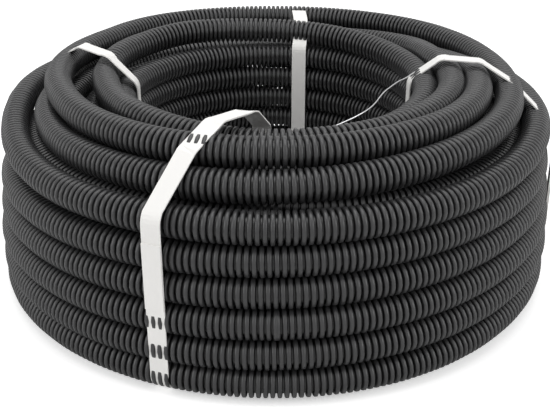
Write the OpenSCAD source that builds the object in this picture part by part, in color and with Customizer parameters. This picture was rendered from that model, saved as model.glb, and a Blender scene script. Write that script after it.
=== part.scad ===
// Corrugated conduit: a coil of 16 mm ribbed pipe, held by four straps, with its draw wire.
// The coil lies flat. The origin is on the floor at the middle of the bore, +Z is up.
// Azimuth 0 is the front (-Y) and grows to the right (+X), as the pipe is wound.

/* [Conduit] */
// Outside diameter of the pipe, over the ribs
pipe_od = 16; // [10:0.5:40]
// Clear bore of the pipe, where the cables go
pipe_bore = 10.7; // [6:0.1:30]
// Wall of the pipe in the grooves between ribs
pipe_wall = 0.35; // [0.2:0.05:1]
// Spacing of the ribs
rib_pitch = 3.28; // [2:0.01:10]
// Width of a rib's crest
rib_crest = 1.9; // [1:0.05:6]
// Ribs shown on the inner end of the pipe
end_ribs = 10; // [4:1:14]

/* [Coil] */
// Radius of the innermost turns, at the middle of the pipe
inner_turn_r = 89.6; // [80:0.1:140]
// Turns stacked in the inner wall
inner_rows = 7; // [4:1:10]
// Turns side by side on the floor, inner and outer walls included
floor_turns = 5; // [3:1:8]
// Spacing of the turns on the floor
floor_pitch = 16.35; // [16:0.05:18]
// Turns stacked in the outer wall
outer_rows = 6; // [4:1:9]
// How far the solid winding reaches out past the turns' middles
groove_fill = 2.4; // [1:0.1:4]

/* [Straps] */
// Width of the strapping
strap_w = 9.5; // [6:0.5:19]
// Thickness of the strapping
strap_t = 0.7; // [0.4:0.1:1.5]
// Gap between a strap and the turns under it
strap_gap = 0.3; // [0.2:0.1:1]
// Length of the lap where a strap's ends are welded
lap_len = 34; // [20:1:60]
// How far below the top row the front strap's lap begins
lap_drop = 8; // [0:1:30]

/* [Draw wire] */
// Diameter of the steel draw wire
wire_d = 0.8; // [0.6:0.1:2]
// Length of the wire inside the pipe's mouth
wire_in = 20; // [10:1:30]

/* [Hidden] */
$fn = 96;

pipe_r = pipe_od / 2;
pipe_root_r = pipe_bore / 2 + pipe_wall;
pipe_black = "#1c1c1d";
strap_white = "#e8e7e4";
wire_grey = "#b9babb";

// The coil lies on the straps, so its lowest turns are this high
coil_z = strap_t + strap_gap;
first_turn_z = coil_z + pipe_r;
outer_turn_r = inner_turn_r + (floor_turns - 1) * floor_pitch;

// Middles of the outermost turns of the winding, [radius, height], all the way round
inner_wall = [for (i = [0 : inner_rows - 1]) [inner_turn_r, first_turn_z + i * pipe_od]];
outer_wall = [for (i = [outer_rows - 1 : -1 : 0]) [outer_turn_r, first_turn_z + i * pipe_od]];
floor_row = [for (i = [floor_turns - 2 : -1 : 1])
    [inner_turn_r + i * floor_pitch, first_turn_z]];

// The crown leads from the inner wall to the outer one in turns that touch each other:
// each one lies a pipe's width from the last, in a direction that dips towards the outside
crown_slope = [41, 4, -27, -45];
crown = [for (i = [0 : len(crown_slope) - 1]) crown_turn(i)];
function crown_turn(i) =
    let (from = i == 0 ? inner_wall[inner_rows - 1] : crown_turn(i - 1))
    from + pipe_od * [cos(crown_slope[i]), sin(crown_slope[i])];

winding = concat(inner_wall, crown, outer_wall, floor_row);

// Inner end of the pipe: straight, on the floor of the bore, along a chord
end_azimuth = 0;
end_reach = 20;       // from the chord's middle to the mouth
end_root_len = 56;    // from the chord's middle back to the inner wall
end_gap = 0.3;        // between the pipe's end and the turns of the inner wall
end_chord_r = sqrt(pow(inner_turn_r - pipe_r, 2) - pow(end_reach + 2, 2)) - pipe_r - 0.4;

// Where each strap crosses the outer and the inner wall, as azimuths
front_strap = [-19.5, -4.5];
left_strap = [-108, -88];
rear_strap = [174, 168];
right_strap = [77, 92];

// Draw wire: hand-laid route from the pipe's mouth up the bore, [azimuth, distance from the
// inner wall, height over the inner wall's]
wire_route = [
    [-21, 6.6, 0.042], [-29.5, 5.8, 0.055], [-37, 5, 0.1], [-42.5, 4.2, 0.18], [-45.5, 3.8, 0.28],
    [-45.5, 3.8, 0.39], [-42.5, 3.8, 0.5], [-37, 3.8, 0.6], [-29, 3.8, 0.7], [-19, 3.8, 0.79],
    [-8, 3.8, 0.87], [4, 3.7, 0.935], [16, 3.5, 0.985], [26, 3.3, 1.02], [34, 3.2, 1.045],
    [41, 4.5, 1.06], [48, 7.6, 1.065], [56, 11, 1.065], [65, 12.5, 1.065], [74, 11.2, 1.065],
    [82, 8, 1.065], [87, 3.6, 1.067], [92, -1.6, 1.075], [95.5, -7, 1.085]
];

function polar(azimuth, r, z) = [r * sin(azimuth), -r * cos(azimuth), z];

// Outline at a distance d outside a convex ring of points, rounded at every corner, as
// [radius, height, direction it faces]. The ring runs anticlockwise.
function rounded_outline(points, d, step = 15) = [
    for (i = [0 : len(points) - 1])
        let (n = len(points),
             a = points[(i + n - 1) % n], b = points[i], c = points[(i + 1) % n],
             from = atan2(b[1] - a[1], b[0] - a[0]) - 90,
             turn = (atan2(c[1] - b[1], c[0] - b[0]) - 90 - from + 720) % 360,
             parts = max(1, ceil(turn / step)))
        for (k = [0 : parts])
            let (facing = from + turn * k / parts)
            [b[0] + d * cos(facing), b[1] + d * sin(facing), facing]
];

// A turn of the winding's section
module turn_at(place) {
    translate(place) circle(r = pipe_r);
}

// A thick line between two neighbouring turns, which closes the groove behind them
module groove_floor(a, b) {
    across = b - a;
    translate(a) rotate(atan2(across[1], across[0]))
        translate([0, -groove_fill]) square([norm(across), 2 * groove_fill]);
}

// Half-section of the wound pipe
module winding_section() {
    n = len(winding);
    for (i = [0 : n - 1]) {
        turn_at(winding[i]);
        groove_floor(winding[i], winding[(i + 1) % n]);
    }
    polygon(winding);
}

// Half-outline of the ribbed pipe, from its mouth back: crests and grooves
function rib_outline(n) = [
    for (i = [0 : n - 1])
        let (z = i * rib_pitch, flank = (rib_pitch - rib_crest) / 4)
        each [[pipe_root_r, z], [pipe_root_r, z + flank],
              [pipe_r, z + 2 * flank], [pipe_r, z + 2 * flank + rib_crest],
              [pipe_root_r, z + 3 * flank + rib_crest]]
];

// The pipe's inner end: ribs and open bore at the mouth, plain where it joins the wall.
// It is the same pipe as the coil, and stops just short of the turns that it runs on into.
module conduit_end($fn = 48) {
    ribbed = end_ribs * rib_pitch;
    color(pipe_black) intersection() {
        translate(polar(end_azimuth, end_chord_r, first_turn_z))
            rotate([0, 0, end_azimuth]) translate([-end_reach, 0, 0]) rotate([0, 90, 0])
                difference() {
                    union() {
                        rotate_extrude()
                            polygon(concat([[0, 0]], rib_outline(end_ribs), [[0, ribbed]]));
                        translate([0, 0, ribbed - rib_pitch / 8])
                            cylinder(r = pipe_r, h = end_reach + end_root_len - ribbed);
                    }
                    translate([0, 0, -1]) cylinder(d = pipe_bore, h = ribbed + 1);
                }
        cylinder(r = inner_turn_r - pipe_r - end_gap, h = first_turn_z + 2 * pipe_r);
    }
}

module conduit_coil() {
    color(pipe_black) rotate_extrude() winding_section();
}

// Azimuth of a strap at a radius: it runs straight, in plan, from where it crosses the
// inner wall to where it crosses the outer one
function strap_azimuth(crossings, r) =
    let (f = max(0, min(1, (r - inner_turn_r) / (outer_turn_r - inner_turn_r))),
         at = polar(crossings[0], outer_turn_r, 0) * f
            + polar(crossings[1], inner_turn_r, 0) * (1 - f))
    atan2(at[0], -at[1]);

// The turns that a taut strap bends round, anticlockwise from the inner foot: from each one
// the band runs straight to the furthest that has all the others on its left
function next_corner(p) =
    let (ahead = [for (q = winding)
             if (q != p && min([for (s = winding) cross(q - p, s - p)]) > -0.001) q],
         reach = max([for (q = ahead) norm(q - p)]))
    [for (q = ahead) if (norm(q - p) == reach) q][0];

function taut_corners(p) = let (q = next_corner(p))
    q == inner_wall[0] ? [p] : concat([p], taut_corners(q));

strap_corners = taut_corners(inner_wall[0]);

// Four corners of a strap where its line is at [radius, height, direction it faces]
function strap_ring(crossings, p, thick) =
    let (az = strap_azimuth(crossings, p[0]),
         swing = strap_azimuth(crossings, p[0] + 0.5) - strap_azimuth(crossings, p[0] - 0.5),
         t0 = polar(az, -sin(p[2]), cos(p[2]))
            - sin(p[2]) * p[0] * swing * PI / 180 * [cos(az), sin(az), 0],
         t = t0 / norm(t0), w0 = cross(polar(az, cos(p[2]), sin(p[2])), t),
         w = w0 / norm(w0) * strap_w / 2, up = cross(t, w) / norm(w) * thick,
         at = polar(az, p[0], p[1]))
    [at - w, at + w, at + w + up, at - w + up];

// A flat band swept round the section, lying on it all the way
module strap_band(crossings, line, thick, closed) {
    n = len(line);
    rings = [for (p = line) each strap_ring(crossings, p, thick)];
    skin = [for (i = [0 : closed ? n - 1 : n - 2], k = [0 : 3])
        let (a = i * 4 + k, b = i * 4 + (k + 1) % 4,
             c = ((i + 1) % n) * 4 + k, d = ((i + 1) % n) * 4 + (k + 1) % 4)
        each [[a, c, b], [b, c, d]]];
    ends = closed ? [] : [[0, 1, 2, 3], [for (k = [3 : -1 : 0]) (n - 1) * 4 + k]];
    polyhedron(points = rings, faces = concat(skin, ends));
}

// A strap: the taut band, and the lap where its ends are welded together on the outer wall
module strap(crossings, lap_from) {
    line = rounded_outline(strap_corners, pipe_r + strap_gap);
    lap_r = outer_turn_r + pipe_r + strap_gap + strap_t / 2;
    color(strap_white) {
        strap_band(crossings, line, strap_t, true);
        strap_band(crossings, [[lap_r, lap_from, 0], [lap_r, lap_from + lap_len, 0]],
                   1.5 * strap_t, false);
    }
}

module strap_front() { strap(front_strap, outer_wall[0][1] - lap_drop - lap_len); }
module strap_left() { strap(left_strap, outer_wall[2][1] - lap_len / 2); }
module strap_rear() { strap(rear_strap, outer_wall[2][1] - lap_len / 2); }
module strap_right() { strap(right_strap, outer_wall[3][1] - lap_len / 2); }

// Smooth line through hand-laid points
function spline(p0, p1, p2, p3, t) =
    0.5 * (2 * p1 + (p2 - p0) * t + (2 * p0 - 5 * p1 + 4 * p2 - p3) * t * t
           + (3 * p1 - p0 - 3 * p2 + p3) * t * t * t);

function smooth_line(points, parts) = [
    for (i = [0 : len(points) - 2])
        for (k = [0 : parts - 1])
            spline(points[max(i - 1, 0)], points[i], points[i + 1],
                   points[min(i + 2, len(points) - 1)], k / parts),
    points[len(points) - 1]
];

// A round bar swept along a line, with flat sides and closed ends
module swept_bar(line, d, sides) {
    n = len(line);
    rings = [for (i = [0 : n - 1])
        let (along = line[min(i + 1, n - 1)] - line[max(i - 1, 0)],
             t = along / norm(along),
             u0 = cross([0, 0, 1], t), u = u0 / norm(u0), v = cross(t, u))
        for (k = [0 : sides - 1])
            line[i] + d / 2 * (u * cos(360 * k / sides) + v * sin(360 * k / sides))];
    skin = [for (i = [0 : n - 2], k = [0 : sides - 1])
        let (a = i * sides + k, b = i * sides + (k + 1) % sides)
        each [[a, a + sides, b], [b, a + sides, b + sides]]];
    first = [for (k = [0 : sides - 1]) k];
    last = [for (k = [sides - 1 : -1 : 0]) (n - 1) * sides + k];
    polyhedron(points = rings, faces = concat(skin, [first, last]));
}

// Point on the floor of the pipe's bore, this far in from the mouth
function in_bore(depth) =
    polar(end_azimuth, end_chord_r, first_turn_z - pipe_bore / 2 + wire_d / 2 + 0.1)
    + (depth - end_reach) * [cos(end_azimuth), sin(end_azimuth), 0];

module draw_wire() {
    wall_r = inner_turn_r - pipe_r;
    wall_z = inner_wall[inner_rows - 1][1];
    // the tip lies against the crown's first turn, in the groove beside it
    tip = crown[0] + (pipe_r + wire_d / 2 + 0.1) * [cos(196), sin(196)];
    route = concat([in_bore(wire_in), in_bore(wire_in / 2), in_bore(0)],
                   [for (p = wire_route) polar(p[0], wall_r - p[1], wall_z * p[2])],
                   [polar(98.5, tip[0], tip[1])]);
    color(wire_grey) swept_bar(smooth_line(route, 3), wire_d, 8);
}

conduit_coil();
conduit_end();
strap_front();
strap_left();
strap_rear();
strap_right();
draw_wire();
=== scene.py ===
import math

import bpy
import numpy as np
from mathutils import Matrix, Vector


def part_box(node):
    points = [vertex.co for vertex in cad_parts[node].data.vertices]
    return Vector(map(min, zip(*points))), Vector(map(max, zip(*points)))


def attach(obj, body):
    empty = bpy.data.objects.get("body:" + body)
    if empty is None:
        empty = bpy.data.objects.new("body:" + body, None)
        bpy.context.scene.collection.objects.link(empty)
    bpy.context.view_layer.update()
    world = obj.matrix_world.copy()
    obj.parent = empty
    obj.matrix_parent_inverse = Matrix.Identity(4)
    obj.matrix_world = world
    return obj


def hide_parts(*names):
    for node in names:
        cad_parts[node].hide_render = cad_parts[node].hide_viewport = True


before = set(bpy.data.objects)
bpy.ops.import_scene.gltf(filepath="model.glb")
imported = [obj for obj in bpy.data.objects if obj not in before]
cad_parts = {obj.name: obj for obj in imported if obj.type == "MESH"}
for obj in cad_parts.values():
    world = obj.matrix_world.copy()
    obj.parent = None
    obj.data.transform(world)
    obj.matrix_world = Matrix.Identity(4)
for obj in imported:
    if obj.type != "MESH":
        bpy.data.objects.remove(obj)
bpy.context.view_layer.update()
bpy.ops.object.select_all(action="DESELECT")
scene = bpy.context.scene

# ---------------------------------------------------------------- sizes, in metres

PIPE = 0.016            # outside diameter over the ribs
BORE = 0.0107           # clear bore
RIB_PITCH = 0.00328
MM = 0.001
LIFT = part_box("conduit_coil")[0].z    # the coil lies on the straps that pass under it
WIRE = 0.0008
TURN = 2 * math.pi

# ---------------------------------------------------------------- camera

bpy.ops.object.camera_add(location=(0, -0.486352, 0.257752),
                          rotation=(math.radians(66.77), 0, 0))
camera = bpy.context.object
camera.data.lens = 55.335
camera.data.sensor_width = 36
camera.data.shift_x = 0.00125
camera.data.shift_y = -0.05625
camera.data.clip_start = 0.01
scene.camera = camera


# ---------------------------------------------------------------- small helpers

def alone(piece):
    """Selects one object and nothing else."""
    bpy.ops.object.select_all(action="DESELECT")
    piece.select_set(True)
    bpy.context.view_layer.objects.active = piece


def apply_all(piece):
    """Applies a piece's modifiers, from the first down."""
    alone(piece)
    for name in [m.name for m in piece.modifiers]:
        bpy.ops.object.modifier_apply(modifier=name)


def drop(thing):
    """Removes a helper that has done its work, with its data."""
    data = thing.data
    bpy.data.objects.remove(thing)
    if isinstance(data, bpy.types.Curve):
        bpy.data.curves.remove(data)
    else:
        bpy.data.meshes.remove(data)


def polar(turns, radius, height):
    """Point at a turn from the front, growing to the right, in the frame's metres."""
    angle = TURN * turns
    return Vector((radius * math.sin(angle), -radius * math.cos(angle), height))


def eased(keys, column, at):
    """Smooth values between keys, with no overshoot past any of them."""
    x = np.array([k[0] for k in keys], float)
    y = np.array([k[column] for k in keys], float)
    h, slope = np.diff(x), np.diff(y) / np.diff(x)
    m = np.zeros(len(x))
    for i in range(1, len(x) - 1):
        if slope[i - 1] * slope[i] > 0:
            a, b = 2 * h[i] + h[i - 1], h[i] + 2 * h[i - 1]
            m[i] = (a + b) / (a / slope[i - 1] + b / slope[i])
    m[0], m[-1] = slope[0], slope[-1]
    at = np.asarray(at, float)
    i = np.clip(np.searchsorted(x, at, side="right") - 1, 0, len(x) - 2)
    s = (at - x[i]) / h[i]
    return ((1 + 2 * s) * (1 - s) ** 2 * y[i] + s * (1 - s) ** 2 * h[i] * m[i]
            + s * s * (3 - 2 * s) * y[i + 1] + s * s * (s - 1) * h[i] * m[i + 1])


# ---------------------------------------------------------------- how the pipe is wound
# One pipe, wound from the bore outwards. Each key is where its middle passes:
# (turns from the front, radius, height), radius and height in pipe diameters.

BORE_WALL = [
    (0.20, 5.6, 0.5), (0.9, 5.6, 0.52), (1.2, 5.6, 1.36), (1.5, 5.6, 1.46), (2.0, 5.6, 1.78),
    (2.25, 5.6, 2.28), (2.5, 5.6, 2.42), (3.0, 5.6, 2.74), (3.25, 5.6, 3.2), (3.5, 5.6, 3.38),
    (4.0, 5.6, 3.70), (4.25, 5.6, 4.14), (4.5, 5.6, 4.32), (5.0, 5.6, 4.62), (5.25, 5.6, 5.05),
    (5.5, 5.6, 5.27), (6.0, 5.6, 5.5), (6.25, 5.6, 5.9), (6.5, 5.6, 6.23), (7.0, 5.6, 6.2),
    (7.236, 5.6, 6.6), (7.5, 5.8, 7.25), (7.6, 6.4, 7.3), (7.65, 6.6, 7.15), (7.69, 6.55, 7.1),
    (7.736, 6.37, 6.9), (7.795, 6.1, 6.9), (7.833, 6.13, 6.9), (7.875, 6.4, 7.0),
    (8.0, 6.9, 6.86), (8.236, 6.5, 7.0), (8.30, 6.6, 7.0), (8.36, 7.3, 6.8), (8.45, 7.9, 6.5),
    (8.5, 8.2, 6.4),
]

# Heights and radii of the outer wall's rows where they pass the front
ROW_HEIGHTS = [0.5, 1.51, 2.51, 3.48, 4.45, 5.39]
ROW_RADII = [9.80, 9.82, 9.79, 9.66, 9.57, 9.50]
ROW_WAVE = 0.07         # how far a row rises at the right and dips at the left
WALL_KEYS = 18          # one each quarter turn, from the front to where the crown begins


def wall_keys():
    """The outer wall's rows, which climb by one pipe a turn."""
    keys = []
    for i in range(WALL_KEYS):
        t = i / 4
        row = int(t)
        f = t - row
        r = ROW_RADII[row] * (1 - f) + ROW_RADII[row + 1] * f
        z = ROW_HEIGHTS[row] * (1 - f) + ROW_HEIGHTS[row + 1] * f
        keys.append((t, r, z + ROW_WAVE * math.sin(TURN * t) * min(1, t)))
    return keys


OUTER_WALL = [(-0.75, 8.8, 0.5), (-0.62, 9.5, 0.5), (-0.5, 9.8, 0.5), (-0.25, 9.8, 0.5)]
OUTER_WALL += wall_keys()
OUTER_WALL += [
    (4.5, 9.65, 5.35), (4.62, 9.65, 5.95), (4.70, 9.62, 6.1), (4.756, 9.5, 5.95),
    (4.79, 9.42, 5.7), (4.90, 9.45, 5.42), (5.00, 9.50, 5.42), (5.10, 9.50, 5.52),
    (5.236, 9.50, 5.95), (5.36, 9.65, 6.05), (5.5, 9.70, 6.02), (5.65, 9.1, 6.15),
    (5.75, 8.3, 6.1), (5.81, 8.25, 6.1), (5.88, 8.45, 6.2), (6.0, 8.75, 6.33),
    (6.236, 8.50, 6.8), (6.4, 9.3, 7.02), (6.5, 9.67, 7.0), (6.55, 9.65, 7.0),
    (6.60, 9.4, 7.0), (6.65, 8.75, 6.98), (6.70, 8.35, 7.0), (6.75, 8.0, 7.0),
    (6.82, 7.68, 7.0), (6.88, 7.75, 7.0), (6.95, 7.95, 7.03), (7.0, 7.95, 7.03),
    (7.1, 7.75, 7.03), (7.236, 7.40, 7.0), (7.32, 7.6, 6.6), (7.42, 7.9, 6.2),
]

# Turns on the floor, and the turns that the crown lies on
FLOOR_TURNS = [(0.0, 6.62, 0.5), (0.85, 6.62, 0.5), (1.1, 7.7, 0.5), (1.85, 7.7, 0.5),
               (2.1, 8.76, 0.5), (3.0, 8.78, 0.5)]
UNDER_TURNS = [(0.0, 6.65, 5.85), (0.85, 6.65, 5.85), (1.1, 7.7, 6.05), (1.85, 7.7, 6.0),
               (2.1, 8.7, 5.4), (3.0, 8.72, 5.3)]


def along(keys, start, end, per_turn=40):
    """Points of a route from one turn to another."""
    t = np.linspace(start, end, int(round((end - start) * per_turn)) + 1)
    r = eased(keys, 1, t) * PIPE
    z = eased(keys, 2, t) * PIPE + LIFT
    return [polar(*p) for p in zip(t, r, z)]


# ---------------------------------------------------------------- draw wire

WALL_R = 81.6 * MM      # inner face of the bore's wall
WALL_TOP = 105 * MM     # middle of its top row
WIRE_ROUTE = [  # degrees from the front, millimetres from the wall, share of its height
    (-21, 6.6, 0.042), (-29.5, 5.8, 0.055), (-37, 5, 0.1), (-42.5, 4.2, 0.18),
    (-45.5, 3.8, 0.28), (-45.5, 3.8, 0.39), (-42.5, 3.8, 0.5), (-37, 3.8, 0.6),
    (-29, 3.8, 0.7), (-19, 3.8, 0.79), (-8, 3.8, 0.87), (4, 3.7, 0.935), (16, 3.5, 0.985),
    (26, 3.3, 1.02), (34, 3.2, 1.045), (41, 4.5, 1.06), (48, 7.6, 1.065), (56, 11, 1.065),
    (65, 12.5, 1.065), (74, 11.2, 1.065), (82, 8, 1.065), (87, 3.6, 1.067),
    (92, -1.6, 1.075), (95.5, -7, 1.085),
]
MOUTH_Y, MOUTH_Z = -70.18 * MM, 9.0 * MM    # the open end of the pipe lies along X
IN_BORE_Z = MOUTH_Z - BORE / 2 + WIRE / 2 + 0.1 * MM    # on the floor of the bore
WIRE_TIP = Vector((92.48, 13.82, 113.15)) * MM
wire_points = [Vector((x * MM, MOUTH_Y, IN_BORE_Z)) for x in (0, -10, -20)]
wire_points += [polar(a / 360, WALL_R - d * MM, WALL_TOP * h) for a, d, h in WIRE_ROUTE]
wire_points.append(WIRE_TIP)


def bezier_through(name, points, resolution=12):
    """A smooth open curve through points."""
    bpy.ops.curve.primitive_bezier_curve_add(location=(0, 0, 0))
    line = bpy.context.object
    line.name = line.data.name = name
    spline = line.data.splines[0]
    spline.bezier_points.add(len(points) - 2)
    for knot, point in zip(spline.bezier_points, points):
        knot.co = point
        knot.handle_left_type = knot.handle_right_type = "AUTO"
    line.data.resolution_u = resolution
    line.data.twist_mode = "Z_UP"
    return line


draw_wire = bezier_through("draw_wire_steel", wire_points, 6)
# the knots carry the thickness, because a curve's bounds grow by their radius
draw_wire.data.bevel_depth = 1
for knot in draw_wire.data.splines[0].bezier_points:
    knot.radius = WIRE / 2
draw_wire.data.bevel_resolution = 3
draw_wire.data.use_fill_caps = True
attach(draw_wire, "root")
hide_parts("draw_wire")

# ---------------------------------------------------------------- one rib of the pipe


def make_rib(name, sides, profile):
    """One pitch of the pipe along +X, from groove to groove: rings of (place, radius)."""
    bpy.ops.mesh.primitive_circle_add(vertices=sides, radius=profile[0][1],
                                      rotation=(0, math.pi / 2, 0))
    rib = bpy.context.object
    rib.name = rib.data.name = name
    bpy.ops.object.transform_apply(location=False, rotation=True, scale=False)
    bpy.ops.object.mode_set(mode="EDIT")
    bpy.ops.mesh.select_all(action="SELECT")
    for (x0, r0), (x1, r1) in zip(profile, profile[1:]):
        bpy.ops.mesh.extrude_region_move(TRANSFORM_OT_translate={"value": (x1 - x0, 0, 0)})
        bpy.ops.transform.resize(value=(1, r1 / r0, r1 / r0), center_override=(x1, 0, 0))
    bpy.ops.mesh.select_all(action="SELECT")
    bpy.ops.mesh.normals_make_consistent(inside=False)
    bpy.ops.object.mode_set(mode="OBJECT")
    # how high each point stands on its rib, for the painted shade that darkens the grooves: 0
    # in a groove, 1 on a crest
    low, high = min(r for _, r in profile), max(r for _, r in profile)
    crest = rib.data.attributes.new("crest", "FLOAT", "POINT")
    for i, v in enumerate(rib.data.vertices):
        crest.data[i].value = (math.hypot(v.co.y, v.co.z) - low) / (high - low)
    return rib


GROOVE = 5.75 * MM
rib_fine = make_rib("rib_fine", 16, [
    (0.0, GROOVE), (0.22 * MM, 7.45 * MM), (0.62 * MM, 8.03 * MM), (1.94 * MM, 8.03 * MM),
    (2.34 * MM, 7.45 * MM), (2.56 * MM, GROOVE), (RIB_PITCH, GROOVE)])
rib_plain = make_rib("rib_plain", 12, [
    (0.0, GROOVE), (0.4 * MM, 7.95 * MM), (2.16 * MM, 7.95 * MM), (2.56 * MM, GROOVE),
    (RIB_PITCH, GROOVE)])


def wind(name, rib, points):
    """Lays ribs end to end along a route, as one closed pipe."""
    route = bezier_through(name + "_route", points)
    pipe = bpy.data.objects.new(name, rib.data.copy())
    pipe.data.name = name
    scene.collection.objects.link(pipe)
    row = pipe.modifiers.new("row", "ARRAY")
    row.fit_type = "FIT_CURVE"
    row.curve = route
    row.use_relative_offset = False
    row.use_constant_offset = True
    row.constant_offset_displace = (RIB_PITCH, 0, 0)
    row.use_merge_vertices = True
    row.merge_threshold = 0.00002
    bend = pipe.modifiers.new("bend", "CURVE")
    bend.object = route
    bend.deform_axis = "POS_X"
    apply_all(pipe)
    drop(route)
    bpy.ops.object.mode_set(mode="EDIT")
    bpy.ops.mesh.select_mode(type="EDGE")
    bpy.ops.mesh.select_all(action="DESELECT")
    bpy.ops.mesh.select_non_manifold()
    bpy.ops.mesh.edge_face_add()
    bpy.ops.object.mode_set(mode="OBJECT")
    bpy.ops.object.shade_smooth_by_angle(angle=math.radians(62))
    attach(pipe, "root")
    return pipe


pipes = [
    wind("wall_turns_lower", rib_fine, along(OUTER_WALL, -0.75, 2.0)),
    wind("wall_turns_upper", rib_fine, along(OUTER_WALL, 2.0, 4.75)),
    wind("crown_turns", rib_fine, along(OUTER_WALL, 4.75, 7.42)),
    wind("bore_turns_lower", rib_fine, along(BORE_WALL, 0.2, 4.2)),
    wind("bore_turns_upper", rib_fine, along(BORE_WALL, 4.2, 8.5)),
    wind("floor_turns", rib_plain, along(FLOOR_TURNS, 0.0, 3.0)),
    wind("under_turns", rib_plain, along(UNDER_TURNS, 0.0, 3.0)),
]
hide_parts("conduit_coil")

drop(rib_fine)
drop(rib_plain)

# ---------------------------------------------------------------- materials


def new_material(name):
    m = bpy.data.materials.new(name)
    m.use_nodes = True
    return m, m.node_tree.nodes, m.node_tree.links, m.node_tree.nodes["Principled BSDF"]


def black_polypropylene():
    """The pipe: painted shade makes it darker in its grooves, with a fine grain in its sheen.
    """
    m, nodes, links, shader = new_material("black_polypropylene")
    crest = nodes.new("ShaderNodeAttribute")
    crest.attribute_name = "crest"
    coords = nodes.new("ShaderNodeTexCoord")
    grain = nodes.new("ShaderNodeTexNoise")
    grain.inputs["Scale"].default_value = 900
    grain.inputs["Detail"].default_value = 3
    links.new(coords.outputs["Object"], grain.inputs["Vector"])
    shade = nodes.new("ShaderNodeMix")
    shade.data_type = "RGBA"
    # painted shade: a darker black in the grooves, with the pipe's own black on the crests
    shade.inputs["A"].default_value = (0.004, 0.004, 0.0042, 1)
    shade.inputs["B"].default_value = (0.028, 0.028, 0.029, 1)
    links.new(crest.outputs["Fac"], shade.inputs["Factor"])
    links.new(shade.outputs["Result"], shader.inputs["Base Color"])
    rough = nodes.new("ShaderNodeMapRange")
    rough.inputs["To Min"].default_value = 0.30
    rough.inputs["To Max"].default_value = 0.48
    links.new(grain.outputs["Fac"], rough.inputs["Value"])
    links.new(rough.outputs["Result"], shader.inputs["Roughness"])
    shader.inputs["Specular IOR Level"].default_value = 0.5
    return m


def white_strapping():
    m, nodes, links, shader = new_material("white_strapping")
    shader.inputs["Base Color"].default_value = (0.82, 0.81, 0.79, 1)
    shader.inputs["Roughness"].default_value = 0.45
    return m


def wire_steel():
    m, nodes, links, shader = new_material("wire_steel")
    shader.inputs["Base Color"].default_value = (0.6, 0.6, 0.61, 1)
    shader.inputs["Metallic"].default_value = 1
    shader.inputs["Roughness"].default_value = 0.3
    return m


def dress(pieces, material):
    for piece in pieces:
        piece.data.materials.clear()
        piece.data.materials.append(material)


STRAPS = ("strap_front", "strap_left", "strap_rear", "strap_right")
dress(pipes, black_polypropylene())
dress([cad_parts[name] for name in STRAPS], white_strapping())
dress([draw_wire], wire_steel())

# ---------------------------------------------------------------- floor, lamps and world

bpy.ops.mesh.primitive_plane_add(size=8, location=(0, 0, 0))
floor = bpy.context.object
floor.name = "studio_floor"
paper, nodes, links, shader = new_material("floor_paper")
shader.inputs["Base Color"].default_value = (0.9, 0.9, 0.9, 1)
shader.inputs["Roughness"].default_value = 0.9
shader.inputs["Specular IOR Level"].default_value = 0.1
path = nodes.new("ShaderNodeLightPath")
lift_up = nodes.new("ShaderNodeMath")
lift_up.operation = "MULTIPLY"
lift_up.inputs[1].default_value = 0.45
links.new(path.outputs["Is Camera Ray"], lift_up.inputs[0])
shader.inputs["Emission Color"].default_value = (1, 1, 1, 1)
links.new(lift_up.outputs[0], shader.inputs["Emission Strength"])
floor.data.materials.append(paper)

world = bpy.data.worlds.new("white_room")
scene.world = world
world.use_nodes = True
nodes, links = world.node_tree.nodes, world.node_tree.links
sky = nodes["Background"]
sky.inputs["Color"].default_value = (1, 1, 1, 1)
path = nodes.new("ShaderNodeLightPath")
seen = nodes.new("ShaderNodeMath")
seen.operation = "MAXIMUM"
links.new(path.outputs["Is Camera Ray"], seen.inputs[0])
links.new(path.outputs["Is Glossy Ray"], seen.inputs[1])
level = nodes.new("ShaderNodeMapRange")
level.inputs["To Min"].default_value = 0.5
level.inputs["To Max"].default_value = 1.0
links.new(seen.outputs[0], level.inputs["Value"])
links.new(level.outputs["Result"], sky.inputs["Strength"])


def soft_box(name, place, aim, size, watts):
    bpy.ops.object.light_add(type="AREA", location=place)
    lamp = bpy.context.object
    lamp.name = name
    lamp.data.energy = watts
    lamp.data.size = size
    lamp.rotation_mode = "QUATERNION"
    lamp.rotation_quaternion = (Vector(aim) - Vector(place)).to_track_quat("-Z", "Y")


soft_box("top_box", (0, 0.1, 1.2), (0, 0, 0.05), 1.0, 8)
soft_box("left_box", (-1.1, -0.5, 0.6), (0, 0, 0.05), 0.7, 5)
soft_box("right_box", (1.1, -0.5, 0.6), (0, 0, 0.05), 0.7, 5)

scene.view_settings.view_transform = "Standard"
